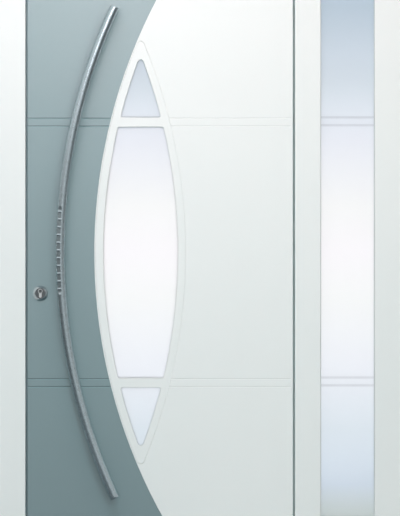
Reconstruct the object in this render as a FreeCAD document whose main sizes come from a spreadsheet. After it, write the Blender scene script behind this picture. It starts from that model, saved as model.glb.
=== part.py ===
import FreeCAD
import Part
import Sketcher
import os
from FreeCAD import Vector

# Aluminium entrance door with one fixed sidelight.
# X runs along the wall, +Y goes into the house and +Z is up. The origin is on the underside
# of the threshold, in the middle of its width and depth. All sizes are in millimetres.
SIZES = {
    # Door set
    "total_height": 2250,
    "frame_depth": 76,
    "frame_face": 95,
    "mullion_face": 96,
    "sidelight_width": 203,
    "lip_depth": 30,
    "edge_round": 1.5,
    "break_start": 8,
    "break_width": 16,
    "break_depth": 1.5,
    "threshold_height": 20,
    "nose_drop": 6,
    "nose_width": 30,
    "tread_groove": 3,
    "rail_face": 76,
    # Leaf in its frame
    "leaf_width": 995,
    "leaf_gap": 8,
    "bottom_gap": 7,
    "leaf_overlap": 15,
    "inner_gap": 7,
    "stop_gap": 5,
    "stile_width": 80,
    "bottom_rail_height": 130,
    "skin": 3,
    "skin_bevel": 0.8,
    "overlay": 2.5,
    # Seals
    "seal_setback": 6,
    "seal_foot": 4,
    "seal_foot_depth": 3,
    "seal_width": 9,
    "seal_clearance": 0.5,
    # Sidelight glass
    "gasket": 4,
    "gasket_sight": 2.5,
    "pane": 6,
    "cavity": 16,
    "glass_edge_gap": 5,
    "spacer_width": 12,
    "bead_round": 4,
    # Curve that parts the two skins, and the grooves
    "curve_inset": 250.5,
    "groove_pitch": 29.5,
    "groove_width": 3.4,
    "groove_depth": 1.6,
    "groove_end": 7,
    # Eye light
    "eye_strip": 5,
    "eye_margin": 316.5,
    "eye_half_width": 140,
    "eye_tip": 11.4,
    "eye_corner": 8,
    "bar_inset": 255,
    "bar_width": 35,
    "surround_width": 29,
    "surround_tip": 14,
    "surround_proud": 1.4,
    "surround_bevel": 1.2,
    "eye_setback": 6,
    "eye_pane": 8,
    "eye_cavity": 20,
    "edge_cover": 12,
    "edge_clearance": 1,
    "spacer_sight": 2,
    "fit_gap": 0.3,
    # Bar handle
    "handle_offset": 126,
    "handle_margin": 140.5,
    "handle_reach": 72,
    "bar_radius": 17,
    "cap_length": 9,
    "cap_bevel": 1.2,
    "post_radius": 7.5,
    "post_seat": 0.05,
    "post_inset": 154.5,
    "inner_post": 212,
    # Lock
    "lock_inset": 48.5,
    "lock_drop": 145,
    "rosette_radius": 28.5,
    "rosette_top": 20,
    "rosette_edge": 3,
    "rosette_height": 12,
    "rosette_shift": 8,
    "barrel_radius": 8.5,
    "barrel_web": 10,
    "barrel_drop": 24,
    "barrel_clearance": 0.5,
    "plug_radius": 6.5,
    "plug_length": 30,
    "plug_clearance": 0.05,
    "slot_width": 2,
    "slot_height": 9,
    "slot_depth": 22,
    "faceplate_length": 240,
    "faceplate_width": 20,
    "faceplate": 3,
    "latch_height": 32,
    "dead_bolt_height": 36,
    "bolt_width": 12,
    "bolt_length": 30,
    "bolt_clearance": 0.4,
    "strike_length": 200,
    "keep_depth": 16,
    "keep_clearance": 3,
    # Inside handle
    "inside_plate_length": 240,
    "inside_plate_width": 40,
    "inside_plate": 9,
    "plate_corner": 8,
    "plate_edge": 2,
    "lever_rise": 92,
    "neck_radius": 10,
    "lever_height": 22,
    "lever_thickness": 10,
    "lever_reach": 44,
    "lever_length": 126,
    "lever_round": 4,
    "collar_radius": 14,
    "collar_height": 5,
    # Hinges
    "pivot_reach": 12,
    "knuckle_radius": 10,
    "knuckle_length": 32,
    "knuckle_gap": 0.5,
    "pin_radius": 5,
    "pin_clearance": 0.05,
    "wing_width": 36,
    "wing": 6,
    "wing_start": 13,
    "hinge_inset": 230,
    # Drop seal
    "drop_width": 14,
    "drop_height": 30,
    "drop_lip": 1.5,
}

doc = FreeCAD.newDocument("entrance_door")
sheet = doc.addObject("Spreadsheet::Sheet", "dims")
for row, (alias, value) in enumerate(SIZES.items(), start=1):
    sheet.set(f"A{row}", alias)
    sheet.set(f"B{row}", str(value))
    sheet.setAlias(f"B{row}", alias)
doc.recompute()

# Places that several pieces share, as expressions on the sheet
TOTAL_WIDTH = ("(2 * dims.frame_face + 2 * dims.leaf_gap + dims.leaf_width + dims.mullion_face"
               " + dims.sidelight_width)")
LEFT = f"(-{TOTAL_WIDTH} / 2)"
RIGHT = f"({TOTAL_WIDTH} / 2)"
TOP = "dims.total_height"
OUTSIDE = "(-dims.frame_depth / 2)"
INSIDE = "(dims.frame_depth / 2)"
REBATE = "(dims.leaf_overlap + dims.inner_gap)"
LIP_BACK = f"({OUTSIDE} + dims.lip_depth)"
SHOULDER = f"({LIP_BACK} + dims.stop_gap)"
DOOR_LEFT = f"({LEFT} + dims.frame_face)"
LEAF_LEFT = f"({DOOR_LEFT} + dims.leaf_gap)"
LEAF_RIGHT = f"({LEAF_LEFT} + dims.leaf_width)"
DOOR_RIGHT = f"({LEAF_RIGHT} + dims.leaf_gap)"
SIDE_LEFT = f"({DOOR_RIGHT} + dims.mullion_face)"
SIDE_RIGHT = f"({SIDE_LEFT} + dims.sidelight_width)"
OPENING_TOP = f"({TOP} - dims.frame_face)"
SILL = "dims.threshold_height"
SIDE_BOTTOM = f"({SILL} + dims.rail_face)"
LEAF_TOP = f"({OPENING_TOP} - dims.leaf_gap)"
LEAF_BOTTOM = f"({SILL} + dims.bottom_gap)"
LEAF_MIDDLE = f"(({LEAF_TOP} + {LEAF_BOTTOM}) / 2)"
HALF_LEAF = f"(({LEAF_TOP} - {LEAF_BOTTOM}) / 2)"
REACH = "(dims.leaf_gap + dims.leaf_overlap)"
INNER_LEFT = f"({LEAF_LEFT} - {REACH})"
INNER_RIGHT = f"({LEAF_RIGHT} + {REACH})"
INNER_TOP = f"({LEAF_TOP} + {REACH})"
STILE_LEFT = f"({LEAF_LEFT} + dims.stile_width)"
STILE_RIGHT = f"({LEAF_RIGHT} - dims.stile_width)"
RAIL_TOP = f"({LEAF_TOP} - dims.stile_width)"
RAIL_BOTTOM = f"({LEAF_BOTTOM} + dims.bottom_rail_height)"
CORE_FRONT = f"({OUTSIDE} + dims.skin)"
CORE_BACK = f"({INSIDE} - dims.skin)"
SKIN_FRONT = f"({OUTSIDE} - dims.overlay)"

# The eye's two arcs meet in points at this height over the leaf's middle, which sets the
# radius of every curve on the leaf
EYE_HEIGHT = f"({HALF_LEAF} - dims.eye_margin)"
CURVE_RADIUS = f"(({EYE_HEIGHT} ^ 2 + dims.eye_half_width ^ 2) / (2 * dims.eye_half_width))"
CURVE_LEFT = f"({LEAF_LEFT} + dims.curve_inset)"
CURVE_CENTRE = f"({CURVE_LEFT} + {CURVE_RADIUS})"
SURROUND_HALF = "(dims.eye_half_width + dims.surround_width)"
EYE_AXIS = f"({CURVE_LEFT} + dims.eye_strip + {SURROUND_HALF})"
BAR_LEVEL = f"({EYE_HEIGHT} - dims.bar_inset)"
EYE_GLASS = f"({OUTSIDE} + dims.eye_setback)"
UNIT_BACK = f"({EYE_GLASS} + dims.eye_pane)"
UNIT_INNER = f"({UNIT_BACK} + dims.eye_cavity)"
EYE_BACK = f"({UNIT_INNER} + dims.eye_pane)"
SURROUND_FRONT = f"({SKIN_FRONT} - dims.surround_proud)"

HANDLE_RADIUS = f"({CURVE_RADIUS} + dims.handle_offset)"
HANDLE_HALF = f"({HALF_LEAF} - dims.handle_margin)"
BAR_Y = f"({OUTSIDE} - dims.handle_reach)"
LOCK_X = f"({LEAF_LEFT} + dims.lock_inset)"
LOCK_Z = f"({LEAF_MIDDLE} - dims.lock_drop)"
LOCK_FRONT = f"({OUTSIDE} - dims.rosette_height)"
LOCK_BACK = f"({INSIDE} + dims.inside_plate)"
PLATE_MIDDLE = f"({LOCK_Z} + dims.lever_rise / 2)"
PIVOT_X = f"(({DOOR_RIGHT} + {LEAF_RIGHT} + {REACH} + {REBATE}) / 2)"
PIVOT_Y = f"({INSIDE} + dims.pivot_reach)"


def number(expression):
    """The present value of an expression on the sheet."""
    value = sheet.evalExpression(expression)
    return float(getattr(value, "Value", value))


def new_body(name):
    body = doc.addObject("PartDesign::Body", name)
    body.Label = name
    return body


def new_sketch(body, name, plane, lift):
    """A sketch on one of the body's own origin planes, lifted along the plane's normal.

    The XZ plane's normal points outwards, to -Y, and its local axes are X and Z.
    """
    face = next(item for item in body.Origin.OriginFeatures if item.Role == plane)
    sketch = body.newObject("Sketcher::SketchObject", f"{body.Name}_{name}")
    sketch.AttachmentSupport = [(face, "")]
    sketch.MapMode = "FlatFace"
    sketch.setExpression("AttachmentOffset.Base.z", lift)
    return sketch


def locate(sketch, geometry, point, across, upward):
    """Holds a point of the sketch at two expressions measured from the origin."""
    for kind, expression in (("DistanceX", across), ("DistanceY", upward)):
        index = sketch.addConstraint(
            Sketcher.Constraint(kind, -1, 1, geometry, point, number(expression)))
        sketch.setExpression(f"Constraints[{index}]", expression)


def add_outline(sketch, corners):
    """A closed outline of straight edges through corners given as pairs of expressions."""
    places = [Vector(number(across), number(upward), 0) for across, upward in corners]
    first = sketch.GeometryCount
    count = len(corners)
    for index in range(count):
        sketch.addGeometry(Part.LineSegment(places[index], places[(index + 1) % count]))
    for index in range(count):
        following = first + (index + 1) % count
        sketch.addConstraint(Sketcher.Constraint("Coincident", first + index, 2, following, 1))
    for index, (across, upward) in enumerate(corners):
        locate(sketch, first + index, 1, across, upward)


def add_circle(sketch, across, upward, radius):
    centre = Vector(number(across), number(upward), 0)
    circle = sketch.addGeometry(Part.Circle(centre, Vector(0, 0, 1), number(radius)))
    locate(sketch, circle, 3, across, upward)
    index = sketch.addConstraint(Sketcher.Constraint("Radius", circle, number(radius)))
    sketch.setExpression(f"Constraints[{index}]", radius)


def rectangle(left, right, low, high):
    return [(left, low), (right, low), (right, high), (left, high)]


def add_pad(body, name, sketch, length):
    pad = body.newObject("PartDesign::Pad", f"{body.Name}_{name}")
    pad.Profile = sketch
    pad.setExpression("Length", length)
    doc.recompute()
    return pad


def add_pocket(body, name, sketch, depth):
    """Cuts from the sketch against its normal and checks that material went."""
    before = body.Tip.Shape.Volume
    pocket = body.newObject("PartDesign::Pocket", f"{body.Name}_{name}")
    pocket.Profile = sketch
    pocket.setExpression("Length", depth)
    doc.recompute()
    if not pocket.Shape.Volume < before - 1:
        raise ValueError(f"{body.Name}: the cut {name} removes nothing")
    return pocket


def pad_outline(body, name, plane, lift, corners, length):
    sketch = new_sketch(body, f"{name}_outline", plane, lift)
    add_outline(sketch, corners)
    return add_pad(body, name, sketch, length)


def cut_outline(body, name, plane, lift, corners, depth):
    sketch = new_sketch(body, f"{name}_outline", plane, lift)
    add_outline(sketch, corners)
    return add_pocket(body, name, sketch, depth)


def panel(body, name, corners, front, back):
    """A pad between two depths of an outline seen from outside."""
    return pad_outline(body, name, "XZ_Plane", f"-{back}", corners, f"{back} - {front}")


def panel_cut(body, name, corners, front, back):
    return cut_outline(body, name, "XZ_Plane", f"-{front}", corners, f"{back} - {front}")


def round_cut(body, name, across, upward, radius, front, back):
    sketch = new_sketch(body, f"{name}_outline", "XZ_Plane", f"-{front}")
    add_circle(sketch, across, upward, radius)
    return add_pocket(body, name, sketch, f"{back} - {front}")


def round_pad(body, name, across, upward, radius, front, back):
    sketch = new_sketch(body, f"{name}_outline", "XZ_Plane", f"-{back}")
    add_circle(sketch, across, upward, radius)
    return add_pad(body, name, sketch, f"{back} - {front}")


def turned(body, name, across, upward, profile):
    """Turns a profile of (radius, depth) pairs about a line through the leaf, along Y."""
    sketch = new_sketch(body, f"{name}_profile", "XY_Plane", upward)
    add_outline(sketch, [(f"({across} + {radius})", depth) for radius, depth in profile])
    start, end = profile[0][1], profile[-1][1]
    axis = sketch.addGeometry(Part.LineSegment(
        Vector(number(across), number(start), 0), Vector(number(across), number(end), 0)))
    sketch.toggleConstruction(axis)
    locate(sketch, axis, 1, across, start)
    locate(sketch, axis, 2, across, end)
    turn = body.newObject("PartDesign::Revolution", f"{body.Name}_{name}")
    turn.Profile = sketch
    turn.ReferenceAxis = (sketch, ["Axis0"])
    turn.Angle = 360
    doc.recompute()
    return turn


def boolean(kind, name, base, tool):
    result = doc.addObject(f"Part::{kind}", name)
    result.Base = base
    result.Tool = tool
    result.Label = name
    doc.recompute()
    return result


def compound(name, pieces):
    result = doc.addObject("Part::Compound", name)
    result.Links = pieces
    result.Label = name
    doc.recompute()
    return result


def edges_along(shape, direction, wanted):
    """Names of the straight edges along a direction whose middle passes the test."""
    names = []
    for index, edge in enumerate(shape.Edges, start=1):
        if edge.Curve.TypeId != "Part::GeomLine":
            continue
        start, end = edge.Vertexes[0].Point, edge.Vertexes[-1].Point
        if abs((end - start).normalize().dot(direction)) > 0.999 and wanted((start + end) / 2):
            names.append(f"Edge{index}")
    return names


def edges_at_depth(shape, depth):
    """Names of the edges that lie in the upright plane at a depth."""
    return [f"Edge{index}" for index, edge in enumerate(shape.Edges, start=1)
            if abs(edge.BoundBox.YMin - depth) < 0.01 and abs(edge.BoundBox.YMax - depth) < 0.01]


def near(place, expression_pairs, axes):
    """Whether a point lies at one of the places given by pairs of expressions."""
    return any(abs(getattr(place, axes[0]) - number(first)) < 0.01
               and abs(getattr(place, axes[1]) - number(second)) < 0.01
               for first, second in expression_pairs)


def round_edges(body, name, edges, radius):
    """A fillet on edges of the body's last feature."""
    if not edges:
        raise ValueError(f"{body.Name}: no edge found for {name}")
    rounded = body.Tip
    fillet = body.newObject("PartDesign::Fillet", f"{body.Name}_{name}")
    fillet.Base = (rounded, edges)
    fillet.setExpression("Radius", radius)
    doc.recompute()
    return fillet


def chamfer_edges(body, name, feature, edges, size):
    """A chamfer on edges of the body's last feature."""
    chamfer = body.newObject("PartDesign::Chamfer", f"{body.Name}_{name}")
    chamfer.Base = (feature, edges)
    chamfer.setExpression("Size", size)
    doc.recompute()


def bevelled(name, base, edges, size):
    """A Part chamfer on edges of a finished shape."""
    result = doc.addObject("Part::Chamfer", name)
    result.Base = base
    width = number(size)
    result.Edges = [(int(edge[4:]), width, width) for edge in edges]
    result.Label = name
    doc.recompute()
    return result


# Frame
def shell(edge, inward):
    """The back of a profile's rebate: its inner face, with the recessed thermal break in it."""
    start = f"({LIP_BACK} + dims.break_start)"
    end = f"({start} + dims.break_width)"
    deep = f"({edge} {inward} -1 * dims.break_depth)"
    return [(edge, LIP_BACK), (edge, start), (deep, start), (deep, end), (edge, end),
            (edge, INSIDE)]


def lip_side(lip, inward):
    """One side of a frame profile from its front: lip, seat of the seal, rebate."""
    seat_near = f"({lip} {inward} -1 * dims.seal_setback)"
    seat_far = f"({seat_near} {inward} -1 * dims.seal_foot)"
    seat = f"({LIP_BACK} - dims.seal_foot_depth)"
    return [(lip, OUTSIDE), (lip, LIP_BACK), (seat_near, LIP_BACK), (seat_near, seat),
            (seat_far, seat), (seat_far, LIP_BACK),
            *shell(f"({lip} {inward} -1 * {REBATE})", inward)]


def frame_section(edge, inward):
    return [(edge, OUTSIDE), *lip_side(f"({edge} {inward} dims.frame_face)", inward),
            (edge, INSIDE)]


def corner_cut(body, name, edge, inward, top, width, upright):
    """Cuts the mitre that falls inwards from a top corner, over an upright or under a head."""
    far = f"({edge} {inward} 2 * {width})"
    low = f"({top} - 2 * {width})"
    third = (far, top) if upright else (edge, low)
    panel_cut(body, name, [(edge, top), (far, low), third], OUTSIDE, INSIDE)


def make_jamb(name, edge, inward):
    body = new_body(name)
    pad = pad_outline(body, "profile", "XY_Plane", SILL, frame_section(edge, inward),
                      f"{TOP} - {SILL}")
    lip = f"({edge} {inward} dims.frame_face)"
    shown = [(lip, OUTSIDE), (f"({lip} {inward} -1 * {REBATE})", INSIDE)]
    edges = edges_along(pad.Shape, Vector(0, 0, 1), lambda place: near(place, shown, "xy"))
    round_edges(body, "edges", edges, "dims.edge_round")
    corner_cut(body, "mitre", edge, inward, TOP, "dims.frame_face", True)
    return body


def make_head():
    body = new_body("frame_head")
    section = [(depth, height) for height, depth in frame_section(TOP, "-")]
    pad = pad_outline(body, "profile", "YZ_Plane", LEFT, section, TOTAL_WIDTH)
    shown = [(OUTSIDE, OPENING_TOP), (INSIDE, f"({OPENING_TOP} + {REBATE})")]
    edges = edges_along(pad.Shape, Vector(1, 0, 0), lambda place: near(place, shown, "yz"))
    round_edges(body, "edges", edges, "dims.edge_round")
    corner_cut(body, "left_mitre", LEFT, "+", TOP, "dims.frame_face", False)
    corner_cut(body, "right_mitre", RIGHT, "-", TOP, "dims.frame_face", False)
    return body


def make_mullion():
    body = new_body("frame_mullion")
    corners = lip_side(DOOR_RIGHT, "-") + list(reversed(lip_side(SIDE_LEFT, "+")))
    pad = pad_outline(body, "profile", "XY_Plane", SILL, corners,
                      f"{OPENING_TOP} + {REBATE} - {SILL}")
    shown = [(DOOR_RIGHT, OUTSIDE), (SIDE_LEFT, OUTSIDE),
             (f"({DOOR_RIGHT} + {REBATE})", INSIDE), (f"({SIDE_LEFT} - {REBATE})", INSIDE)]
    edges = edges_along(pad.Shape, Vector(0, 0, 1), lambda place: near(place, shown, "xy"))
    round_edges(body, "edges", edges, "dims.edge_round")
    top = rectangle(DOOR_RIGHT, SIDE_LEFT, OPENING_TOP, f"({OPENING_TOP} + {REBATE})")
    panel_cut(body, "head_lap", top, OUTSIDE, LIP_BACK)
    return body


def make_side_rail():
    """The rail under the sidelight: its lip between the uprights, its web into their rebates."""
    body = new_body("sidelight_bottom_rail")
    seat = f"({LIP_BACK} - dims.seal_foot_depth)"
    seat_near = f"({SIDE_BOTTOM} - dims.seal_setback)"
    seat_far = f"({seat_near} - dims.seal_foot)"
    web = f"({SIDE_BOTTOM} - {REBATE})"
    lip = [(OUTSIDE, SILL), (LIP_BACK, SILL), (LIP_BACK, seat_far), (seat, seat_far),
           (seat, seat_near), (LIP_BACK, seat_near), (LIP_BACK, SIDE_BOTTOM),
           (OUTSIDE, SIDE_BOTTOM)]
    pad_outline(body, "lip", "YZ_Plane", SIDE_LEFT, lip, "dims.sidelight_width")
    start = f"({SIDE_LEFT} - {REBATE})"
    pad_outline(body, "web", "YZ_Plane", start, rectangle(LIP_BACK, INSIDE, SILL, web),
                f"dims.sidelight_width + 2 * {REBATE}")
    return body


def make_threshold():
    """A low sill: flat under the frame, with a sloped nose and two grooves in the doorway."""
    body = new_body("threshold")
    pad_outline(body, "profile", "YZ_Plane", LEFT, rectangle(OUTSIDE, INSIDE, "0", SILL),
                TOTAL_WIDTH)
    doorway = "(dims.leaf_width + 2 * dims.leaf_gap)"
    nose = [(OUTSIDE, f"({SILL} - dims.nose_drop)"), (f"({OUTSIDE} + dims.nose_width)", SILL),
            (OUTSIDE, SILL)]
    cut_outline(body, "nose", "YZ_Plane", DOOR_RIGHT, nose, doorway)
    for name, step in (("groove_a", "1"), ("groove_b", "3")):
        start = f"({INSIDE} - ({step} + 1) * 2 * dims.tread_groove)"
        groove = [(start, SILL), (f"({start} + dims.tread_groove / 2)",
                                  f"({SILL} - dims.tread_groove / 2)"),
                  (f"({start} + dims.tread_groove)", SILL)]
        cut_outline(body, name, "YZ_Plane", DOOR_RIGHT, groove, doorway)
    return body


threshold = make_threshold()
jamb_left = make_jamb("frame_jamb_left", LEFT, "+")
jamb_right = make_jamb("frame_jamb_right", RIGHT, "-")
head = make_head()
mullion = make_mullion()
side_rail = make_side_rail()


# Seals and gaskets
def seal_bands(left, right, top, start, width, low):
    """Three bands behind the lip: left, top and right, as far from its edge as start."""
    outer_left, outer_right = f"({left} - {start} - {width})", f"({right} + {start} + {width})"
    inner_left, inner_right = f"({left} - {start})", f"({right} + {start})"
    outer_top, inner_top = f"({top} + {start} + {width})", f"({top} + {start})"
    return [(outer_left, low), (inner_left, low), (inner_left, inner_top), (inner_right, inner_top),
            (inner_right, low), (outer_right, low), (outer_right, outer_top), (outer_left, outer_top)]


def add_feet(body, left, right, low, top):
    """Feet that stand in the seats of the left, right and top lips."""
    start, end = "dims.seal_setback", "(dims.seal_setback + dims.seal_foot)"
    seat = f"({LIP_BACK} - dims.seal_foot_depth)"
    feet = {
        "left_foot": rectangle(f"({left} - {end})", f"({left} - {start})", low, top),
        "right_foot": rectangle(f"({right} + {start})", f"({right} + {end})", low, top),
        "top_foot": rectangle(left, right, f"({top} + {start})", f"({top} + {end})"),
    }
    for name, corners in feet.items():
        panel(body, name, corners, seat, LIP_BACK)


BULB_START = "(dims.seal_setback + dims.seal_foot / 2 - dims.seal_width / 2)"
door_seal = new_body("door_stop_seal")
bands = seal_bands(DOOR_LEFT, DOOR_RIGHT, OPENING_TOP, BULB_START, "dims.seal_width", SILL)
panel(door_seal, "bulb", bands, LIP_BACK, f"({SHOULDER} - dims.seal_clearance)")
add_feet(door_seal, DOOR_LEFT, DOOR_RIGHT, SILL, OPENING_TOP)

side_gasket = new_body("sidelight_gasket")
ring = new_sketch(side_gasket, "ring_outline", "XZ_Plane", f"-({LIP_BACK} + dims.gasket)")
for start in ("(-dims.gasket_sight)", f"({BULB_START} + dims.seal_width)"):
    add_outline(ring, rectangle(
        f"({SIDE_LEFT} - {start})", f"({SIDE_RIGHT} + {start})",
        f"({SIDE_BOTTOM} - {start})", f"({OPENING_TOP} + {start})"))
add_pad(side_gasket, "ring", ring, "dims.gasket")
add_feet(side_gasket, SIDE_LEFT, SIDE_RIGHT, SIDE_BOTTOM, OPENING_TOP)
foot_top = f"({SIDE_BOTTOM} - dims.seal_setback)"
panel(side_gasket, "bottom_foot",
      rectangle(SIDE_LEFT, SIDE_RIGHT, f"({foot_top} - dims.seal_foot)", foot_top),
      f"({LIP_BACK} - dims.seal_foot_depth)", LIP_BACK)

# Sidelight glazing
COVER = f"({REBATE} - dims.glass_edge_gap)"
GLASS_FRONT = f"({LIP_BACK} + dims.gasket)"
CAVITY_FRONT = f"({GLASS_FRONT} + dims.pane)"
CAVITY_BACK = f"({CAVITY_FRONT} + dims.cavity)"
GLASS_BACK = f"({CAVITY_BACK} + dims.pane)"


def side_outline(grow):
    return rectangle(f"({SIDE_LEFT} - {grow})", f"({SIDE_RIGHT} + {grow})",
                     f"({SIDE_BOTTOM} - {grow})", f"({OPENING_TOP} + {grow})")


side_outer = new_body("sidelight_glass_outer")
panel(side_outer, "pane", side_outline(COVER), GLASS_FRONT, CAVITY_FRONT)
side_inner = new_body("sidelight_glass_inner")
panel(side_inner, "pane", side_outline(COVER), CAVITY_BACK, GLASS_BACK)
side_spacer = new_body("sidelight_spacer")
ring = new_sketch(side_spacer, "ring_outline", "XZ_Plane", f"-{CAVITY_BACK}")
add_outline(ring, side_outline(COVER))
add_outline(ring, side_outline(f"({COVER} - dims.spacer_width)"))
add_pad(side_spacer, "ring", ring, "dims.cavity")

BEAD_LOW, BEAD_HIGH = f"({SIDE_BOTTOM} - {REBATE})", f"({OPENING_TOP} + {REBATE})"


def make_bead(name, corners, direction, shown, axes):
    """A glazing bead with a rounded edge towards the glass."""
    body = new_body(name)
    pad = panel(body, "bead", corners, GLASS_BACK, INSIDE)
    edges = edges_along(pad.Shape, direction, lambda place: near(place, [shown], axes))
    round_edges(body, "edge", edges, "dims.bead_round")
    return body


bead_left = make_bead(
    "sidelight_bead_left", rectangle(f"({SIDE_LEFT} - {REBATE})", SIDE_LEFT, BEAD_LOW, BEAD_HIGH),
    Vector(0, 0, 1), (SIDE_LEFT, INSIDE), "xy")
bead_right = make_bead(
    "sidelight_bead_right", rectangle(SIDE_RIGHT, f"({SIDE_RIGHT} + {REBATE})", BEAD_LOW, BEAD_HIGH),
    Vector(0, 0, 1), (SIDE_RIGHT, INSIDE), "xy")
bead_top = make_bead(
    "sidelight_bead_top", rectangle(SIDE_LEFT, SIDE_RIGHT, OPENING_TOP, BEAD_HIGH),
    Vector(1, 0, 0), (INSIDE, OPENING_TOP), "yz")
bead_bottom = make_bead(
    "sidelight_bead_bottom", rectangle(SIDE_LEFT, SIDE_RIGHT, BEAD_LOW, SIDE_BOTTOM),
    Vector(1, 0, 0), (INSIDE, SIDE_BOTTOM), "yz")


# Lens-shaped solids of the eye light
def lens(name, half_width, tip, front, back):
    """A prism between two arcs of the leaf's curve, with its two tips rounded."""
    body = new_body(name)
    sketch = new_sketch(body, "outline", "XZ_Plane", f"-{back}")
    radius = number(CURVE_RADIUS)
    axis, middle = number(EYE_AXIS), number(LEAF_MIDDLE)
    height = (radius ** 2 - (radius - number(half_width)) ** 2) ** 0.5
    low, high = Vector(axis, middle - height, 0), Vector(axis, middle + height, 0)
    for sign, first, last in (("+", high, low), ("-", low, high)):
        crown = Vector(number(f"{EYE_AXIS} {sign} -1 * {half_width}"), middle, 0)
        arc = sketch.addGeometry(Part.Arc(first, crown, last))
        index = sketch.addConstraint(Sketcher.Constraint("Radius", arc, radius))
        sketch.setExpression(f"Constraints[{index}]", CURVE_RADIUS)
        locate(sketch, arc, 3, f"{EYE_AXIS} {sign} ({CURVE_RADIUS} - {half_width})", LEAF_MIDDLE)
    sketch.addConstraint(Sketcher.Constraint("Coincident", 0, 2, 1, 1))
    sketch.addConstraint(Sketcher.Constraint("Coincident", 1, 2, 0, 1))
    pad = add_pad(body, "prism", sketch, f"{back} - {front}")
    round_edges(body, "tips", edges_along(pad.Shape, Vector(0, 1, 0), lambda place: True), tip)
    return body


def box(name, left, right, front, back, low, high):
    """A Part box between six expressions."""
    block = doc.addObject("Part::Box", name)
    block.setExpression("Length", f"{right} - {left}")
    block.setExpression("Width", f"{back} - {front}")
    block.setExpression("Height", f"{high} - {low}")
    for axis, place in (("x", left), ("y", front), ("z", low)):
        block.setExpression(f"Placement.Base.{axis}", place)
    return block


def light_panes(name, grow, front, back, corner=None):
    """The eye's three lights, grown past their visible edges, with rounded corners if given."""
    half = f"(dims.eye_half_width + {grow})"
    left, right = f"({EYE_AXIS} - {half})", f"({EYE_AXIS} + {half})"
    under = f"({BAR_LEVEL} - dims.bar_width / 2 + {grow})"
    over = f"({BAR_LEVEL} + dims.bar_width / 2 - {grow})"
    ranges = {
        "top": (f"({LEAF_MIDDLE} + {over})", LEAF_TOP),
        "middle": (f"({LEAF_MIDDLE} - {under})", f"({LEAF_MIDDLE} + {under})"),
        "bottom": (LEAF_BOTTOM, f"({LEAF_MIDDLE} - {over})"),
    }
    panes = []
    for part, (low, high) in ranges.items():
        whole = lens(f"{name}_{part}_lens", half, f"(dims.eye_tip + {grow})", front, back)
        block = box(f"{name}_{part}_box", left, right, front, back, low, high)
        pane = boolean("Common", f"{name}_{part}", whole, block)
        if corner:
            levels = [number(low), number(high)]
            edges = edges_along(pane.Shape, Vector(0, 1, 0),
                                lambda place: min(abs(place.z - level) for level in levels) < 0.01)
            rounded = doc.addObject("Part::Fillet", f"{name}_{part}_rounded")
            rounded.Base = pane
            radius = number(corner)
            rounded.Edges = [(int(edge[4:]), radius, radius) for edge in edges]
            doc.recompute()
            pane = rounded
        panes.append(pane)
    return compound(name, panes)


# Eye light
eye_outer = light_panes("eye_glass_outer", "dims.edge_cover", EYE_GLASS, UNIT_BACK)
eye_inner = light_panes("eye_glass_inner", "dims.edge_cover", UNIT_INNER, EYE_BACK)
spacer_block = light_panes("spacer_block", "dims.edge_cover", UNIT_BACK, UNIT_INNER)
spacer_hole = light_panes("spacer_hole", "dims.spacer_sight", UNIT_BACK, UNIT_INNER)
eye_spacers = boolean("Cut", "eye_spacers", spacer_block, spacer_hole)


def make_sight_ring(name, front, back):
    """A lens-shaped cover with the eye's three lights cut out."""
    ring = lens(f"{name}_lens", SURROUND_HALF, "dims.surround_tip", front, back)
    sight = light_panes(f"{name}_sight", "0", front, back, "dims.eye_corner")
    return boolean("Cut", name, ring, sight)


surround_cover = make_sight_ring("surround_cover", SURROUND_FRONT, EYE_GLASS)
surround_front = bevelled("surround_front", surround_cover,
                          edges_at_depth(surround_cover.Shape, number(SURROUND_FRONT)),
                          "dims.surround_bevel")
casing = lens("surround_casing", SURROUND_HALF, "dims.surround_tip", EYE_GLASS, EYE_BACK)
casing_hole = light_panes("casing_hole", "(dims.edge_cover + dims.edge_clearance)",
                          EYE_GLASS, EYE_BACK)
surround_back = boolean("Cut", "surround_back", casing, casing_hole)
eye_surround = boolean("Fuse", "eye_surround", surround_front, surround_back)
TRIM_BACK = f"({INSIDE} + dims.surround_proud)"
eye_inner_trim = make_sight_ring("eye_inner_trim", EYE_BACK, TRIM_BACK)


def cut_eye(name, base, front, back):
    """Opens a sheet for the eye's surround, with the fitting gap all round."""
    tool = lens(f"{name}_eye", f"({SURROUND_HALF} + dims.fit_gap)", "dims.surround_tip",
                front, back)
    return boolean("Cut", name, base, tool)


# Leaf
def leaf_section(edge, inward):
    """The leaf profile: narrow in front of the shoulder, lapping behind the frame's lip."""
    lap = f"({edge} {inward} -1 * {REACH})"
    inner = f"({edge} {inward} dims.stile_width)"
    start = f"({SHOULDER} + dims.break_start)"
    end = f"({start} + dims.break_width)"
    deep = f"({lap} {inward} dims.break_depth)"
    return [(edge, CORE_FRONT), (inner, CORE_FRONT), (inner, CORE_BACK), (lap, CORE_BACK),
            (lap, end), (deep, end), (deep, start), (lap, start), (lap, SHOULDER),
            (edge, SHOULDER)]


def barrel_outline(clearance):
    """The profile cylinder's web: its corners, and the level and radius of its round foot."""
    half = f"(dims.barrel_web / 2 + {clearance})"
    foot = f"({LOCK_Z} - dims.barrel_drop + dims.barrel_web / 2)"
    return rectangle(f"({LOCK_X} - {half})", f"({LOCK_X} + {half})", foot, LOCK_Z), foot, half


def cut_barrel(body, front, back):
    """The hole for the profile cylinder: a round, the web that hangs from it and its foot."""
    web, foot, half = barrel_outline("dims.barrel_clearance")
    round_cut(body, "barrel_hole", LOCK_X, LOCK_Z, "(dims.barrel_radius + dims.barrel_clearance)",
              front, back)
    panel_cut(body, "web_hole", web, front, back)
    round_cut(body, "foot_hole", LOCK_X, foot, half, front, back)


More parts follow.
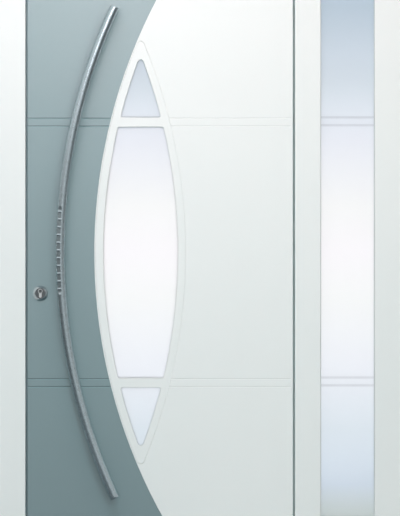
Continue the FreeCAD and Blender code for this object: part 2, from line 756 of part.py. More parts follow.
def make_stile(name, edge, inward, lap):
    body = new_body(name)
    pad_outline(body, "profile", "XY_Plane", LEAF_BOTTOM, leaf_section(edge, inward),
                f"{INNER_TOP} - {LEAF_BOTTOM}")
    corner_cut(body, "mitre", lap, inward, INNER_TOP, f"(dims.stile_width + {REACH})", True)
    return body


lock_stile = make_stile("leaf_stile_lock", LEAF_LEFT, "+", INNER_LEFT)
cut_barrel(lock_stile, CORE_FRONT, CORE_BACK)
hinge_stile = make_stile("leaf_stile_hinge", LEAF_RIGHT, "-", INNER_RIGHT)
top_rail = new_body("leaf_rail_top")
rail_section = [(depth, height) for height, depth in leaf_section(LEAF_TOP, "-")]
pad_outline(top_rail, "profile", "YZ_Plane", INNER_LEFT, rail_section,
            f"{INNER_RIGHT} - {INNER_LEFT}")
for side, lap, inward in (("left", INNER_LEFT, "+"), ("right", INNER_RIGHT, "-")):
    corner_cut(top_rail, f"{side}_mitre", lap, inward, INNER_TOP,
               f"(dims.stile_width + {REACH})", False)

BETWEEN_STILES = f"({STILE_RIGHT} - {STILE_LEFT})"
HALF_DROP = "(dims.drop_width / 2)"
DROP_TOP = f"({LEAF_BOTTOM} + dims.drop_height)"
bottom_rail = new_body("leaf_rail_bottom")
pad_outline(bottom_rail, "profile", "YZ_Plane", STILE_LEFT,
            rectangle(CORE_FRONT, CORE_BACK, LEAF_BOTTOM, RAIL_BOTTOM), BETWEEN_STILES)
cut_outline(bottom_rail, "seal_groove", "YZ_Plane", STILE_RIGHT,
            rectangle(f"(-{HALF_DROP})", HALF_DROP, LEAF_BOTTOM, DROP_TOP), BETWEEN_STILES)
drop_seal = new_body("drop_seal")
pad_outline(drop_seal, "case", "YZ_Plane", STILE_LEFT,
            rectangle(f"(-{HALF_DROP})", HALF_DROP, LEAF_BOTTOM, DROP_TOP), BETWEEN_STILES)
pad_outline(drop_seal, "lip", "YZ_Plane", STILE_LEFT,
            rectangle(f"(-{HALF_DROP} / 2)", f"({HALF_DROP} / 2)",
                      f"({LEAF_BOTTOM} - dims.drop_lip)", LEAF_BOTTOM), BETWEEN_STILES)

core_block = new_body("core_block")
panel(core_block, "block", rectangle(STILE_LEFT, STILE_RIGHT, RAIL_BOTTOM, RAIL_TOP),
      CORE_FRONT, CORE_BACK)
panel_core = cut_eye("panel_core", core_block, CORE_FRONT, CORE_BACK)
inner_sheet = new_body("inner_sheet")
panel(inner_sheet, "sheet", rectangle(INNER_LEFT, INNER_RIGHT, LEAF_BOTTOM, INNER_TOP),
      CORE_BACK, INSIDE)
cut_barrel(inner_sheet, CORE_BACK, INSIDE)
inner_open = cut_eye("inner_open", inner_sheet, CORE_BACK, INSIDE)
inner_skin = bevelled("inner_skin", inner_open,
                      edges_at_depth(inner_open.Shape, number(INSIDE)), "dims.skin_bevel / 2")


def cut_grooves(name, base, start, end, face):
    """Cuts four V grooves along X, in pairs at the levels of the eye's two bars."""
    half = "(dims.groove_width / 2)"
    cutters = []
    for label, bar, side in (("a", "+", "+"), ("b", "+", "-"), ("c", "-", "+"), ("d", "-", "-")):
        level = f"({LEAF_MIDDLE} {bar} {BAR_LEVEL} {side} dims.groove_pitch / 2)"
        wedge = [(face, f"({level} - {half})"), (f"({face} + dims.groove_depth)", level),
                 (face, f"({level} + {half})")]
        cutter = new_body(f"{name}_groove_{label}")
        pad_outline(cutter, "wedge", "YZ_Plane", start, wedge, f"{end} - {start}")
        cutters.append(cutter)
    return boolean("Cut", name, base, compound(f"{name}_grooves", cutters))


grey_sheet = new_body("grey_sheet")
panel(grey_sheet, "sheet", rectangle(LEAF_LEFT, LEAF_RIGHT, LEAF_BOTTOM, LEAF_TOP),
      OUTSIDE, CORE_FRONT)
cut_barrel(grey_sheet, OUTSIDE, CORE_FRONT)
free_edge = edges_along(grey_sheet.Shape, Vector(0, 0, 1),
                        lambda place: near(place, [(LEAF_LEFT, OUTSIDE)], "xy"))
grey_eased = bevelled("grey_eased", grey_sheet, free_edge, "dims.skin_bevel")
grey_open = cut_eye("grey_open", grey_eased, OUTSIDE, CORE_FRONT)
outer_skin_grey = cut_grooves("outer_skin_grey", grey_open, LEAF_LEFT, EYE_AXIS, OUTSIDE)

white_sheet = new_body("white_sheet")
panel(white_sheet, "sheet", rectangle(LEAF_LEFT, LEAF_RIGHT, LEAF_BOTTOM, LEAF_TOP),
      SKIN_FRONT, OUTSIDE)
curve = doc.addObject("Part::Cylinder", "curve_disc")
curve.setExpression("Radius", CURVE_RADIUS)
curve.setExpression("Height", "dims.overlay")
curve.Placement = FreeCAD.Placement(Vector(), FreeCAD.Rotation(Vector(1, 0, 0), 90))
curve.setExpression("Placement.Base.x", CURVE_CENTRE)
curve.setExpression("Placement.Base.y", OUTSIDE)
curve.setExpression("Placement.Base.z", LEAF_MIDDLE)
white_curved = boolean("Common", "white_curved", white_sheet, curve)
white_open = cut_eye("white_open", white_curved, SKIN_FRONT, OUTSIDE)
white_eased = bevelled("white_eased", white_open,
                       edges_at_depth(white_open.Shape, number(SKIN_FRONT)), "dims.skin_bevel")
outer_skin_white = cut_grooves("outer_skin_white", white_eased, EYE_AXIS,
                               f"({LEAF_RIGHT} - dims.groove_end)", SKIN_FRONT)

# Bar handle
HALF_ANGLE = f"asin({HANDLE_HALF} / {HANDLE_RADIUS})"
CAP_ANGLE = f"(dims.cap_length / {HANDLE_RADIUS} * 180 / pi * 1deg)"


def make_bar():
    """A round rod bent about the centre of the leaf's curve, the same way up and down."""
    body = new_body("handle_bar")
    sketch = new_sketch(body, "section", "XY_Plane", LEAF_MIDDLE)
    add_circle(sketch, f"({CURVE_CENTRE} - {HANDLE_RADIUS})", BAR_Y, "dims.bar_radius")
    start, end = f"({BAR_Y} - dims.bar_radius)", BAR_Y
    axis = sketch.addGeometry(Part.LineSegment(
        Vector(number(CURVE_CENTRE), number(start), 0),
        Vector(number(CURVE_CENTRE), number(end), 0)))
    sketch.toggleConstruction(axis)
    locate(sketch, axis, 1, CURVE_CENTRE, start)
    locate(sketch, axis, 2, CURVE_CENTRE, end)
    bend = body.newObject("PartDesign::Revolution", "handle_bar_bend")
    bend.Profile = sketch
    bend.ReferenceAxis = (sketch, ["Axis0"])
    bend.Midplane = True
    bend.setExpression("Angle", f"2 * ({HALF_ANGLE} - {CAP_ANGLE})")
    doc.recompute()
    return body


bar = make_bar()


def make_cap(name, sign):
    """A turned end cap: a disc with a bevelled end."""
    body = new_body(name)
    disc = new_sketch(body, "disc_outline", "XY_Plane", "0")
    add_circle(disc, "0", "0", "dims.bar_radius")
    pad = add_pad(body, "disc", disc, "dims.cap_length")
    length = number("dims.cap_length")
    rim = [f"Edge{index}" for index, edge in enumerate(pad.Shape.Edges, start=1)
           if edge.BoundBox.ZMin > length - 0.01]
    chamfer_edges(body, "bevel", pad, rim, "dims.cap_bevel")
    angle = f"({HALF_ANGLE} - {CAP_ANGLE})"
    turned_by = f"{angle}" if sign > 0 else f"180deg - {angle}"
    body.Placement = FreeCAD.Placement(Vector(), FreeCAD.Rotation(Vector(0, 1, 0), 10))
    body.setExpression("Placement.Base.x", f"{CURVE_CENTRE} - {HANDLE_RADIUS} * cos({angle})")
    body.setExpression("Placement.Base.y", BAR_Y)
    body.setExpression("Placement.Base.z",
                       f"{LEAF_MIDDLE} + {sign} * {HANDLE_RADIUS} * sin({angle})")
    body.setExpression("Placement.Rotation.Angle", turned_by)
    doc.recompute()
    return body


cap_top = make_cap("handle_cap_top", 1)
cap_bottom = make_cap("handle_cap_bottom", -1)


def make_post(name, height):
    """A round post from the skin to the bar, hollowed to the bar's own round."""
    body = new_body(f"{name}_rod")
    across = f"({CURVE_CENTRE} - sqrt({HANDLE_RADIUS} ^ 2 - {height} ^ 2))"
    level = f"({LEAF_MIDDLE} + {height})"
    round_pad(body, "rod", across, level, "dims.post_radius", BAR_Y, OUTSIDE)
    slope = f"asin({height} / {HANDLE_RADIUS})"
    seat = doc.addObject("Part::Cylinder", f"{name}_seat")
    seat.setExpression("Radius", "dims.bar_radius + dims.post_seat")
    seat.setExpression("Height", "4 * dims.bar_radius")
    seat.Placement = FreeCAD.Placement(Vector(), FreeCAD.Rotation(Vector(0, 1, 0), 10))
    seat.setExpression("Placement.Base.x", f"{across} - 2 * dims.bar_radius * sin({slope})")
    seat.setExpression("Placement.Base.y", BAR_Y)
    seat.setExpression("Placement.Base.z", f"{level} - 2 * dims.bar_radius * cos({slope})")
    seat.setExpression("Placement.Rotation.Angle", slope)
    return boolean("Cut", name, body, seat)


OUTER_POST = f"({HANDLE_HALF} - dims.post_inset)"
posts = [make_post("handle_post_upper", OUTER_POST),
         make_post("handle_post_upper_middle", "dims.inner_post"),
         make_post("handle_post_lower_middle", "(-dims.inner_post)"),
         make_post("handle_post_lower", f"(-{OUTER_POST})")]

# Lock
rosette = new_body("rosette_outside")
turned(rosette, "cover", LOCK_X, f"({LOCK_Z} - dims.rosette_shift)",
       [("0", OUTSIDE), ("dims.rosette_radius", OUTSIDE),
        ("dims.rosette_radius", f"({OUTSIDE} - dims.rosette_edge)"),
        ("dims.rosette_top", LOCK_FRONT), ("0", LOCK_FRONT)])
cut_barrel(rosette, LOCK_FRONT, OUTSIDE)
cylinder = new_body("lock_cylinder")
round_pad(cylinder, "barrel", LOCK_X, LOCK_Z, "dims.barrel_radius", LOCK_FRONT, LOCK_BACK)
barrel_corners, barrel_foot, barrel_half = barrel_outline("0")
panel(cylinder, "web", barrel_corners, LOCK_FRONT, LOCK_BACK)
round_pad(cylinder, "foot", LOCK_X, barrel_foot, barrel_half, LOCK_FRONT, LOCK_BACK)
round_cut(cylinder, "plug_bore", LOCK_X, LOCK_Z, "(dims.plug_radius + dims.plug_clearance)",
          LOCK_FRONT, f"({LOCK_FRONT} + dims.plug_length + dims.plug_clearance)")
plug = new_body("key_plug")
round_pad(plug, "core", LOCK_X, LOCK_Z, "dims.plug_radius", LOCK_FRONT,
          f"({LOCK_FRONT} + dims.plug_length)")
slot = rectangle(f"({LOCK_X} - dims.slot_width / 2)", f"({LOCK_X} + dims.slot_width / 2)",
                 f"({LOCK_Z} - dims.slot_height / 2)", f"({LOCK_Z} + dims.slot_height / 2)")
panel_cut(plug, "slot", slot, LOCK_FRONT, f"({LOCK_FRONT} + dims.slot_depth)")

# Inside plate and lever
inside_plate = new_body("inside_plate")
plate = panel(inside_plate, "plate",
              rectangle(f"({LOCK_X} - dims.inside_plate_width / 2)",
                        f"({LOCK_X} + dims.inside_plate_width / 2)",
                        f"({PLATE_MIDDLE} - dims.inside_plate_length / 2)",
                        f"({PLATE_MIDDLE} + dims.inside_plate_length / 2)"), INSIDE, LOCK_BACK)
corners = edges_along(plate.Shape, Vector(0, 1, 0), lambda place: True)
plate = round_edges(inside_plate, "corners", corners, "dims.plate_corner")
chamfer_edges(inside_plate, "rim", plate, edges_at_depth(plate.Shape, number(LOCK_BACK)),
              "dims.plate_edge")
cut_barrel(inside_plate, INSIDE, LOCK_BACK)


def make_lever():
    """A flat lever: round collar and neck, and an arm with rounded corners."""
    body = new_body("lever_handle")
    level = f"({LOCK_Z} + dims.lever_rise)"
    arm_front = f"({LOCK_BACK} + dims.lever_reach)"
    round_pad(body, "collar", LOCK_X, level, "dims.collar_radius", LOCK_BACK,
              f"({LOCK_BACK} + dims.collar_height)")
    round_pad(body, "neck", LOCK_X, level, "dims.neck_radius", LOCK_BACK, arm_front)
    start = f"({LOCK_X} - dims.lever_height / 2)"
    arm = panel(body, "arm", rectangle(start, f"({LOCK_X} + dims.lever_length)",
                                       f"({level} - dims.lever_height / 2)",
                                       f"({level} + dims.lever_height / 2)"),
                arm_front, f"({arm_front} + dims.lever_thickness)")
    round_edges(body, "corners", edges_along(arm.Shape, Vector(0, 1, 0), lambda place: True),
                "dims.lever_round")
    return body


lever = make_lever()

# Faceplate, bolts and strike plate
PLATE_Y = f"(({SHOULDER} + {CORE_BACK}) / 2)"
PLATE_FRONT = f"({PLATE_Y} - dims.faceplate_width / 2)"
PLATE_END = f"({PLATE_Y} + dims.faceplate_width / 2)"
BOLT_FRONT = f"({PLATE_Y} - dims.bolt_width / 2)"
BOLT_END = f"({PLATE_Y} + dims.bolt_width / 2)"
LATCH_LEVEL = f"({LOCK_Z} + dims.lever_rise)"


def level_range(middle, length):
    return f"({middle} - {length} / 2)", f"({middle} + {length} / 2)"


def make_bolt(name, middle, height):
    """A bolt drawn back until it is flush, with its channel through faceplate and stile."""
    low, high = level_range(middle, height)
    body = new_body(name)
    panel(body, "bolt", rectangle(INNER_LEFT, f"({INNER_LEFT} + dims.bolt_length)", low, high),
          BOLT_FRONT, BOLT_END)
    channel = rectangle(INNER_LEFT, f"({INNER_LEFT} + dims.bolt_length)",
                        f"({low} - dims.bolt_clearance)", f"({high} + dims.bolt_clearance)")
    for target in (lock_stile, faceplate):
        panel_cut(target, f"{name}_channel", channel, f"({BOLT_FRONT} - dims.bolt_clearance)",
                  f"({BOLT_END} + dims.bolt_clearance)")
    low, high = level_range(middle, f"({height} + 2 * dims.keep_clearance)")
    keep = rectangle(f"({STRIKE_FACE} - dims.keep_depth)", STRIKE_FACE, low, high)
    for target in (jamb_left, strike):
        panel_cut(target, f"{name}_keep", keep, f"({BOLT_FRONT} - dims.bolt_clearance)",
                  f"({BOLT_END} + dims.bolt_clearance)")
    return body


low, high = level_range(PLATE_MIDDLE, "dims.faceplate_length")
face_outline = rectangle(INNER_LEFT, f"({INNER_LEFT} + dims.faceplate)", low, high)
panel_cut(lock_stile, "faceplate_seat", face_outline, PLATE_FRONT, PLATE_END)
faceplate = new_body("lock_faceplate")
panel(faceplate, "plate", face_outline, PLATE_FRONT, PLATE_END)
STRIKE_FACE = f"({DOOR_LEFT} - {REBATE})"
low, high = level_range(PLATE_MIDDLE, "dims.strike_length")
strike_outline = rectangle(f"({STRIKE_FACE} - dims.faceplate)", STRIKE_FACE, low, high)
panel_cut(jamb_left, "strike_seat", strike_outline, PLATE_FRONT, PLATE_END)
strike = new_body("strike_plate")
panel(strike, "plate", strike_outline, PLATE_FRONT, PLATE_END)
latch_bolt = make_bolt("latch_bolt", LATCH_LEVEL, "dims.latch_height")
dead_bolt = make_bolt("dead_bolt", f"({LOCK_Z} - dims.barrel_drop / 2)", "dims.dead_bolt_height")


# Hinges
def make_hinge(name, level):
    """A three-knuckle hinge: frame wing with the pin, leaf wing with the middle knuckle."""
    half = "(1.5 * dims.knuckle_length + dims.knuckle_gap)"
    low, high = f"({level} - {half})", f"({level} + {half})"
    joint_low = f"({level} - dims.knuckle_length / 2)"
    joint_high = f"({level} + dims.knuckle_length / 2)"
    start = f"({PIVOT_X} + dims.wing_start)"
    wing_back = f"({INSIDE} + dims.wing)"
    frame_wing = new_body(f"hinge_frame_{name}")
    panel(frame_wing, "wing", rectangle(start, f"({start} + dims.wing_width)", low, high),
          INSIDE, wing_back)
    neck = f"({PIVOT_X} + dims.pin_radius)"
    spans = {"lower": (low, f"({joint_low} - dims.knuckle_gap)"),
             "upper": (f"({joint_high} + dims.knuckle_gap)", high)}
    for part, (bottom, top) in spans.items():
        knuckle = new_sketch(frame_wing, f"{part}_circle", "XY_Plane", bottom)
        add_circle(knuckle, PIVOT_X, PIVOT_Y, "dims.knuckle_radius")
        add_pad(frame_wing, f"{part}_knuckle", knuckle, f"{top} - {bottom}")
        panel(frame_wing, f"{part}_neck", rectangle(neck, start, bottom, top), INSIDE, wing_back)
    pin = new_sketch(frame_wing, "pin_circle", "XY_Plane", low)
    add_circle(pin, PIVOT_X, PIVOT_Y, "dims.pin_radius")
    add_pad(frame_wing, "pin", pin, f"{high} - {low}")

    end = f"({PIVOT_X} - dims.wing_start)"
    leaf_wing = new_body(f"hinge_leaf_{name}")
    panel(leaf_wing, "wing", rectangle(f"({end} - dims.wing_width)", end, low, high),
          INSIDE, wing_back)
    knuckle = new_sketch(leaf_wing, "knuckle_circle", "XY_Plane", joint_low)
    add_circle(knuckle, PIVOT_X, PIVOT_Y, "dims.knuckle_radius")
    add_pad(leaf_wing, "knuckle", knuckle, "dims.knuckle_length")
    panel(leaf_wing, "neck", rectangle(end, f"({PIVOT_X} - dims.pin_radius)", joint_low, joint_high),
          INSIDE, wing_back)
    bore = new_sketch(leaf_wing, "bore_circle", "XY_Plane", joint_high)
    add_circle(bore, PIVOT_X, PIVOT_Y, "(dims.pin_radius + dims.pin_clearance)")
    add_pocket(leaf_wing, "bore", bore, "dims.knuckle_length")
    return frame_wing, leaf_wing


hinge_levels = {"bottom": f"({LEAF_BOTTOM} + dims.hinge_inset)", "middle": LEAF_MIDDLE,
                "top": f"({LEAF_TOP} - dims.hinge_inset)"}
hinges = [wing for name, level in hinge_levels.items() for wing in make_hinge(name, level)]

# Export
pieces = [
    threshold, jamb_left, jamb_right, head, mullion, side_rail, door_seal, side_gasket,
    side_outer, side_inner, side_spacer, bead_left, bead_right, bead_top, bead_bottom,
    strike, lock_stile, hinge_stile, top_rail, bottom_rail, drop_seal, panel_core, inner_skin,
    outer_skin_grey, outer_skin_white, eye_surround, eye_inner_trim, eye_outer, eye_inner,
    eye_spacers, bar, cap_top, cap_bottom, *posts, rosette, cylinder, plug, inside_plate, lever,
    faceplate, latch_bolt, dead_bolt, *hinges]

doc.recompute()
for item in doc.Objects:
    if {"Invalid", "Error"} & set(item.State):
        raise ValueError(f"{item.Label} did not build: {item.State}")
os.makedirs("parts", exist_ok=True)
for piece in pieces:
    if piece.Shape.isNull() or not piece.Shape.isValid():
        raise ValueError(f"{piece.Label} has no valid shape")
    piece.Shape.exportStep(f"parts/{piece.Label}.step")
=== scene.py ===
import math

import bpy
import numpy as np
from mathutils import Matrix, Vector


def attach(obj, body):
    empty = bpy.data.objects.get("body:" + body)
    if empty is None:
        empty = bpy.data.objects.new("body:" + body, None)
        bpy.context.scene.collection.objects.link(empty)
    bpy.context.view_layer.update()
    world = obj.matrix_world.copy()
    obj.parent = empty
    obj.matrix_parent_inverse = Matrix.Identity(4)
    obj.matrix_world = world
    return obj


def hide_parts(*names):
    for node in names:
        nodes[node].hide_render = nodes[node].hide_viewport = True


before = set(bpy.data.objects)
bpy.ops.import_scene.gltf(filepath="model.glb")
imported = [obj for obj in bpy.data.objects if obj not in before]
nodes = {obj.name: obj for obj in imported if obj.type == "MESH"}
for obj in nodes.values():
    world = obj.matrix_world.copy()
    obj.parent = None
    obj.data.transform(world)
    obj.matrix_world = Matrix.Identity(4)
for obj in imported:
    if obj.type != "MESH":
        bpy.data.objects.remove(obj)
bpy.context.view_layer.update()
scene = bpy.context.scene

# Camera: it looks straight at the middle of the picture from far away, so that the bar,
# which stands in front of the leaf, shows no perspective. The picture is 400 by 516 pixels
# of 3.75 mm, and the long side of the frame is the sensor's 36 mm.
DISTANCE, SENSOR = 25.0, 36.0
PIXEL, PIXELS_HIGH = 0.00375, 516
OUTSIDE_FACE, PICTURE_MIDDLE = -0.038, 1.0664
camera_data = bpy.data.cameras.new("camera")
camera_data.sensor_fit = "VERTICAL"
camera_data.sensor_height = SENSOR
camera_data.lens = SENSOR * DISTANCE / (PIXELS_HIGH * PIXEL)
camera_data.clip_end = 200.0
camera = bpy.data.objects.new("camera", camera_data)
camera.location = (0.0, OUTSIDE_FACE - DISTANCE, PICTURE_MIDDLE)
camera.rotation_euler = (math.radians(90), 0.0, 0.0)
scene.collection.objects.link(camera)
scene.camera = camera

# Studio: one long thin lamp that runs from in front of the bar's top up to the left, three wide
# soft ones in front, one behind for the inside and one behind the glass. The world is a faint
# fill. To the camera and through glass it is white, and so it is to metal behind the door; metal
# sees the studio in front as greys: a soft pale middle, a white upper left and a dark lower left.
scene.view_settings.view_transform = "Standard"


def area_lamp(name, place, target, size, power, color, diffuse=True, glossy=True,
              through=False, long_way=(0.0, 0.0, 1.0)):
    """A rectangular lamp; its second size runs along long_way as far as its facing allows."""
    lamp = bpy.data.lights.new(name, "AREA")
    lamp.shape = "RECTANGLE"
    lamp.size, lamp.size_y = size
    lamp.energy = power
    lamp.color = color
    holder = bpy.data.objects.new(name, lamp)
    holder.location = place
    back = (Vector(place) - Vector(target)).normalized()
    side = Vector(long_way).cross(back).normalized()
    holder.rotation_euler = Matrix((side, back.cross(side), back)).transposed().to_euler()
    holder.visible_diffuse = diffuse
    holder.visible_glossy = glossy
    holder.visible_transmission = through
    holder.visible_camera = False
    scene.collection.objects.link(holder)


area_lamp("long key lamp", (-0.71, -1.95, 2.78), (-0.2, 0.0, 1.2), (0.12, 2.17), 27.0,
          (1.0, 0.88, 0.90), glossy=False, long_way=(-0.78, 1.3, 1.55))
area_lamp("wide front lamp", (0.4, -6.0, 1.7), (0.0, 0.0, 1.2), (3.5, 2.4), 110.0,
          (0.57, 0.99, 1.0), glossy=False)
area_lamp("sheen lamp", (-0.3, -3.0, 2.6), (0.0, 0.0, 1.6), (2.4, 0.5), 27.0,
          (1.0, 0.93, 0.95), diffuse=False)
area_lamp("high right lamp", (1.8, -3.0, 3.4), (0.3, 0.0, 1.4), (1.6, 1.2), 34.0,
          (1.0, 0.64, 0.57), glossy=False)
area_lamp("inside lamp", (-0.8, 3.2, 2.9), (0.0, 0.0, 1.1), (2.0, 1.4), 80.0,
          (1.0, 0.99, 0.97))
area_lamp("lamp behind the glass", (0.0, 1.6, 0.9), (0.0, 0.0, 0.9), (2.6, 1.6), 4.5,
          (1.0, 0.98, 1.0), glossy=False, through=True)


def add_math(tree, operation, *sources):
    """Output of a Math node; each source is a number or another node's output."""
    node = tree.nodes.new("ShaderNodeMath")
    node.operation = operation
    for socket, source in zip(node.inputs, sources):
        if isinstance(source, float):
            socket.default_value = source
        else:
            tree.links.new(source, socket)
    return node.outputs[0]


def add_range(tree, value, start, end, low=0.0, high=1.0, kind="LINEAR"):
    """Output of a Map Range node that turns start into low and end into high."""
    node = tree.nodes.new("ShaderNodeMapRange")
    node.interpolation_type = kind
    for socket, number in (("From Min", start), ("From Max", end), ("To Min", low),
                           ("To Max", high)):
        node.inputs[socket].default_value = number
    tree.links.new(value, node.inputs["Value"])
    return node.outputs["Result"]


def soft_step(tree, value, start, end, low=0.0, high=1.0):
    return add_range(tree, value, start, end, low, high, "SMOOTHSTEP")


def plain_light(tree, strength):
    """A white background whose strength is a number or another node's output."""
    node = tree.nodes.new("ShaderNodeBackground")
    node.inputs["Color"].default_value = (1, 1, 1, 1)
    if isinstance(strength, float):
        node.inputs["Strength"].default_value = strength
    else:
        tree.links.new(strength, node.inputs["Strength"])
    return node.outputs[0]


def mix_shaders(tree, factor, first, second, surface_socket):
    """Puts a mix of two shaders on a tree's output."""
    node = tree.nodes.new("ShaderNodeMixShader")
    for socket, source in zip(node.inputs, (factor, first, second)):
        tree.links.new(source, socket)
    tree.links.new(node.outputs[0], surface_socket)


FILL_STRENGTH = 0.2
world = bpy.data.worlds.new("studio")
scene.world = world
world.use_nodes = True
tree = world.node_tree
tree.nodes.clear()
rays = tree.nodes.new("ShaderNodeLightPath").outputs
seen = add_math(tree, "MAXIMUM", rays["Is Camera Ray"], rays["Is Transmission Ray"])
seen_or_glossy = add_math(tree, "MAXIMUM", seen, rays["Is Glossy Ray"])
direction = tree.nodes.new("ShaderNodeTexCoord")
axes = tree.nodes.new("ShaderNodeSeparateXYZ")
tree.links.new(direction.outputs["Generated"], axes.inputs[0])
right, behind, high = axes.outputs
flatness = add_math(tree, "MULTIPLY", high, high)
across = add_math(tree, "MULTIPLY", soft_step(tree, right, -0.75, 0.1),
                  soft_step(tree, right, 0.95, 0.2, 0.0, 0.5))
middle = add_math(tree, "MULTIPLY", across, soft_step(tree, flatness, 0.09, 0.01))
upper = add_math(tree, "MULTIPLY", soft_step(tree, high, -0.05, 0.3),
                 soft_step(tree, right, 0.4, -0.4, 0.25, 0.85))
side = soft_step(tree, right, 0.0, 0.8, 0.10, 0.32)
front = add_math(tree, "ADD", add_math(tree, "ADD", middle, upper), side)
all_round = add_math(tree, "MAXIMUM", soft_step(tree, behind, 0.3, 0.5), front)
backdrop = plain_light(tree, add_math(tree, "MAXIMUM", seen, all_round))
output = tree.nodes.new("ShaderNodeOutputWorld")
mix_shaders(tree, seen_or_glossy, plain_light(tree, FILL_STRENGTH), backdrop,
            output.inputs["Surface"])

# Floor: pale and plain, fading to the white of the backdrop away from the door. In the metal's
# reflections it is dark. It lies half a millimetre under the threshold.
FLOOR_RADIUS, FLOOR_LEVEL, FLOOR_CORNERS = 14.0, -0.0005, 64
FADE_START, FADE_END = 1.6, 7.0


def new_material(name):
    """A material with its node tree and its principled shader."""
    material = bpy.data.materials.new(name)
    material.use_nodes = True
    return material, material.node_tree, material.node_tree.nodes["Principled BSDF"]


def mix_colors(tree, factor, first, second, blend="MIX"):
    """Output of a colour Mix node; each colour is a tuple or another node's output."""
    node = tree.nodes.new("ShaderNodeMix")
    node.data_type = "RGBA"
    node.blend_type = blend
    tree.links.new(factor, node.inputs["Factor"])
    for socket, color in (("A", first), ("B", second)):
        if isinstance(color, tuple):
            node.inputs[socket].default_value = (*color, 1)
        else:
            tree.links.new(color, node.inputs[socket])
    return node.outputs["Result"]


def object_point(tree):
    return tree.nodes.new("ShaderNodeTexCoord").outputs["Object"]


def length_of(tree, vector):
    node = tree.nodes.new("ShaderNodeVectorMath")
    node.operation = "LENGTH"
    tree.links.new(vector, node.inputs[0])
    return node.outputs["Value"]


floor_mesh = bpy.data.meshes.new("floor")
turn = np.linspace(0, 2 * math.pi, FLOOR_CORNERS, endpoint=False)
rim = np.column_stack([FLOOR_RADIUS * np.cos(turn), FLOOR_RADIUS * np.sin(turn),
                       np.full(FLOOR_CORNERS, FLOOR_LEVEL)])
floor_mesh.from_pydata(rim.tolist(), [], [list(range(FLOOR_CORNERS))])
floor = bpy.data.objects.new("floor", floor_mesh)
scene.collection.objects.link(floor)
floor_finish, tree, shader = new_material("pale floor")
shader.inputs["Roughness"].default_value = 0.9
rays = tree.nodes.new("ShaderNodeLightPath").outputs
fade = soft_step(tree, length_of(tree, object_point(tree)), FADE_START, FADE_END)
plainly = add_math(tree, "MAXIMUM", rays["Is Camera Ray"], rays["Is Transmission Ray"])
tone = mix_colors(tree, rays["Is Glossy Ray"], (0.8, 0.8, 0.8), (0.22, 0.25, 0.27))
tree.links.new(tone, shader.inputs["Base Color"])
glow = tree.nodes.new("ShaderNodeEmission")
glow.inputs["Strength"].default_value = 1.0
mix_shaders(tree, add_math(tree, "MULTIPLY", fade, plainly), shader.outputs[0],
            glow.outputs[0], tree.nodes["Material Output"].inputs["Surface"])
floor_mesh.materials.append(floor_finish)

# Frame: the jambs, head, mullion, rail and beads are aluminium profiles with a white satin
# powder coat, which is a film of about 80 microns with a very fine orange peel. The same
# coat is on the hinge wings and on the leaf's own profiles.
GRAIN_RANGE = (0.3, 0.7)


def grain_group():
    """Fine grain: fractal noise at Scale per metre gives a Shade round one half and a Height."""
    group = bpy.data.node_groups.new("fine grain", "ShaderNodeTree")
    face = group.interface
    face.new_socket("Scale", in_out="INPUT", socket_type="NodeSocketFloat")
    face.new_socket("Stretch", in_out="INPUT", socket_type="NodeSocketVector")
    face.new_socket("Shade", in_out="OUTPUT", socket_type="NodeSocketFloat")
    face.new_socket("Height", in_out="OUTPUT", socket_type="NodeSocketFloat")
    enter = group.nodes.new("NodeGroupInput")
    leave = group.nodes.new("NodeGroupOutput")
    place = object_point(group)
    stretch = group.nodes.new("ShaderNodeVectorMath")
    stretch.operation = "MULTIPLY"
    group.links.new(place, stretch.inputs[0])
    group.links.new(enter.outputs["Stretch"], stretch.inputs[1])
    fine = group.nodes.new("ShaderNodeTexNoise")
    fine.inputs["Detail"].default_value = 3.0
    fine.inputs["Roughness"].default_value = 0.6
    group.links.new(stretch.outputs[0], fine.inputs["Vector"])
    group.links.new(enter.outputs["Scale"], fine.inputs["Scale"])
    cloud = group.nodes.new("ShaderNodeTexNoise")
    cloud.inputs["Scale"].default_value = 2.2
    cloud.inputs["Detail"].default_value = 2.0
    group.links.new(place, cloud.inputs["Vector"])
    cloud_share = add_math(group, "MULTIPLY", cloud.outputs["Fac"], 0.65)
    shade = add_math(group, "MULTIPLY_ADD", fine.outputs["Fac"], 0.35, cloud_share)
    group.links.new(shade, leave.inputs["Shade"])
    group.links.new(fine.outputs["Fac"], leave.inputs["Height"])
    return group


GRAIN = grain_group()


def add_grain(tree, scale, stretch=(1, 1, 1)):
    """The fine grain in a material: its shade and its height."""
    grain = tree.nodes.new("ShaderNodeGroup")
    grain.node_tree = GRAIN
    grain.inputs["Scale"].default_value = scale
    grain.inputs["Stretch"].default_value = stretch
    return grain.outputs["Shade"], grain.outputs["Height"]


def add_bump(tree, shader, height, distance):
    relief = tree.nodes.new("ShaderNodeBump")
    relief.inputs["Strength"].default_value = 1.0
    relief.inputs["Distance"].default_value = distance
    tree.links.new(height, relief.inputs["Height"])
    tree.links.new(relief.outputs["Normal"], shader.inputs["Normal"])


def two_shades(tree, value, dark, light):
    """A colour that runs from a dark to a light shade over the grain's range."""
    ramp = tree.nodes.new("ShaderNodeValToRGB")
    for stop, spot, color in zip(ramp.color_ramp.elements, GRAIN_RANGE, (dark, light)):
        stop.position = spot
        stop.color = (*color, 1)
    tree.links.new(value, ramp.inputs["Fac"])
    return ramp.outputs["Color"]


